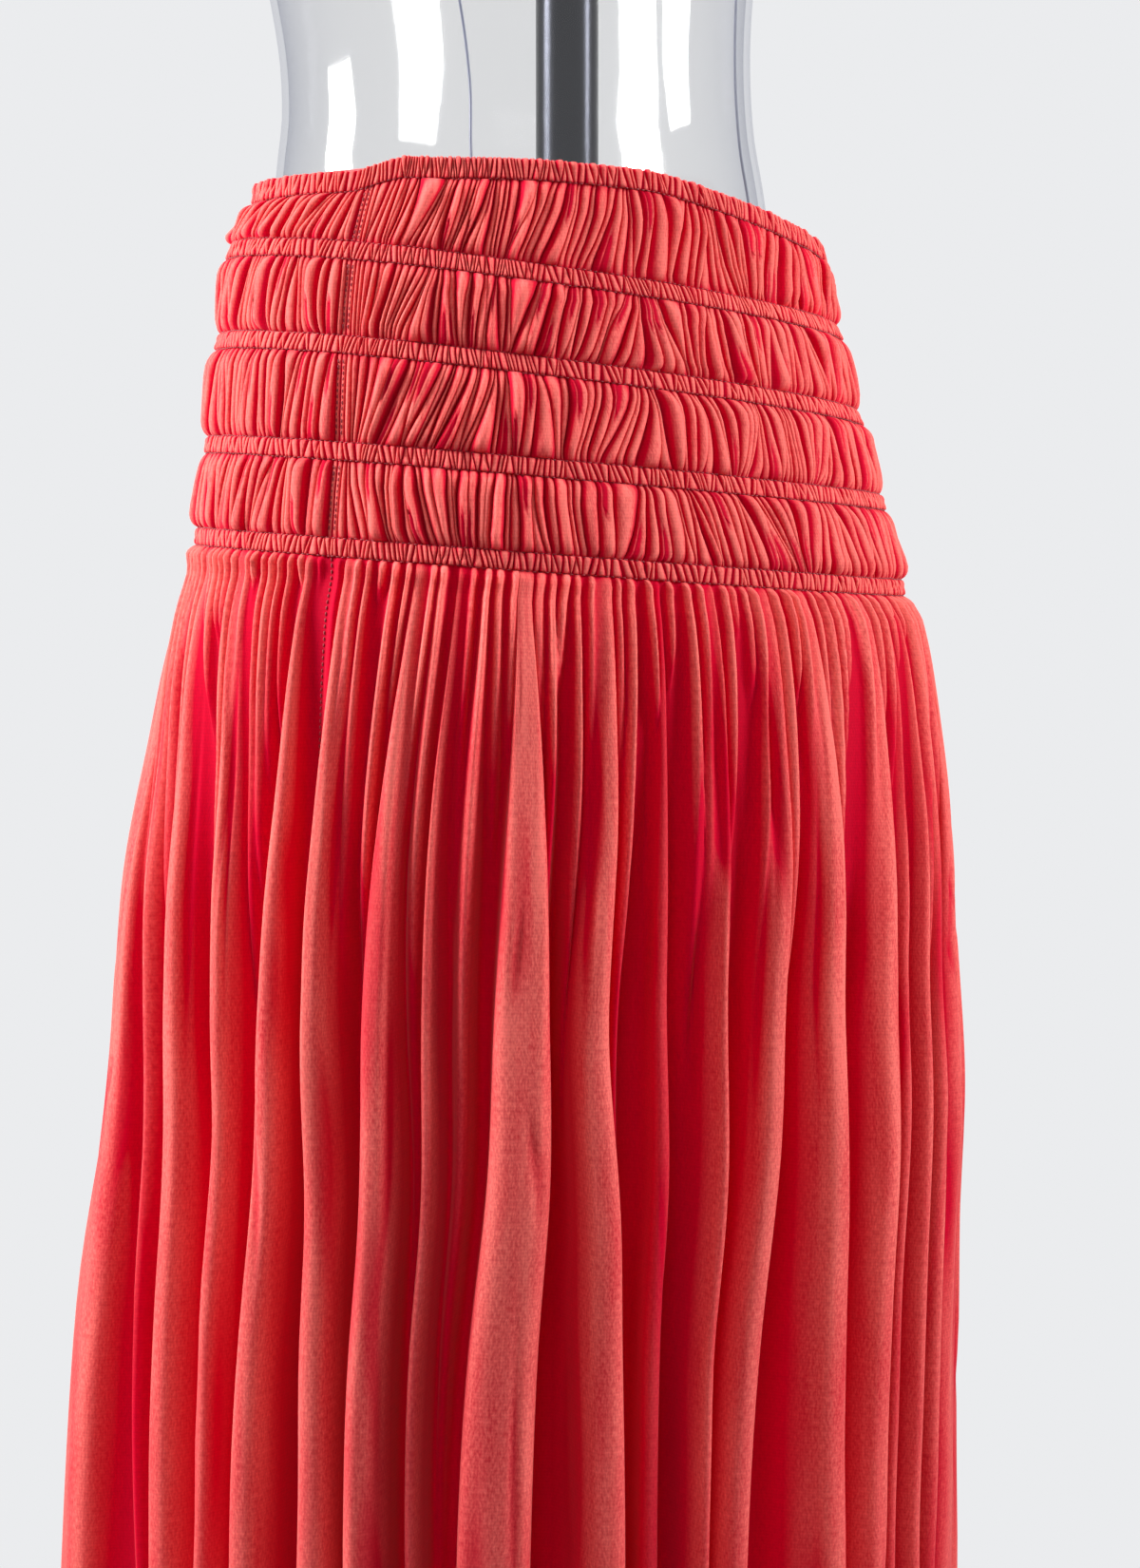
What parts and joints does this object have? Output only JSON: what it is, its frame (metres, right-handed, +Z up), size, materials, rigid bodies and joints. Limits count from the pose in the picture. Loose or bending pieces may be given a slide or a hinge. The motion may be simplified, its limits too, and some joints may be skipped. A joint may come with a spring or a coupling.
{
  "type": "maxi skirt on a limbless torso dress form",
  "caption": "Full-length gathered skirt with a shirred elastic waistband, worn by a clear limbless torso form on a pole and round base.",
  "frame": {"origin": "middle of the stand base's underside, on the pole's axis", "axes": "+Z up; the wearer's front faces -Y; the side seams lie at -X and +X"},
  "size_m": [0.4471, 0.4214, 1.5743],
  "materials": {
    "crepe": "matt coral red crepe, slightly sheer",
    "elastic": "woven elastic tape",
    "clear_plastic": "clear moulded plastic, gloss",
    "black_plastic": "moulded black plastic",
    "chrome": "bright plated steel tube",
    "steel": "brushed steel plate"
  },
  "bodies": {
    "root": {"front_panel": "crepe", "back_panel": "crepe", "elastic_1": "elastic", "elastic_2": "elastic", "elastic_3": "elastic", "elastic_4": "elastic", "elastic_5": "elastic", "torso_form": "clear_plastic", "neck_cap": "black_plastic", "pole": "chrome", "pole_socket": "chrome", "stand_base": "steel"}
  },
  "joints": []
}
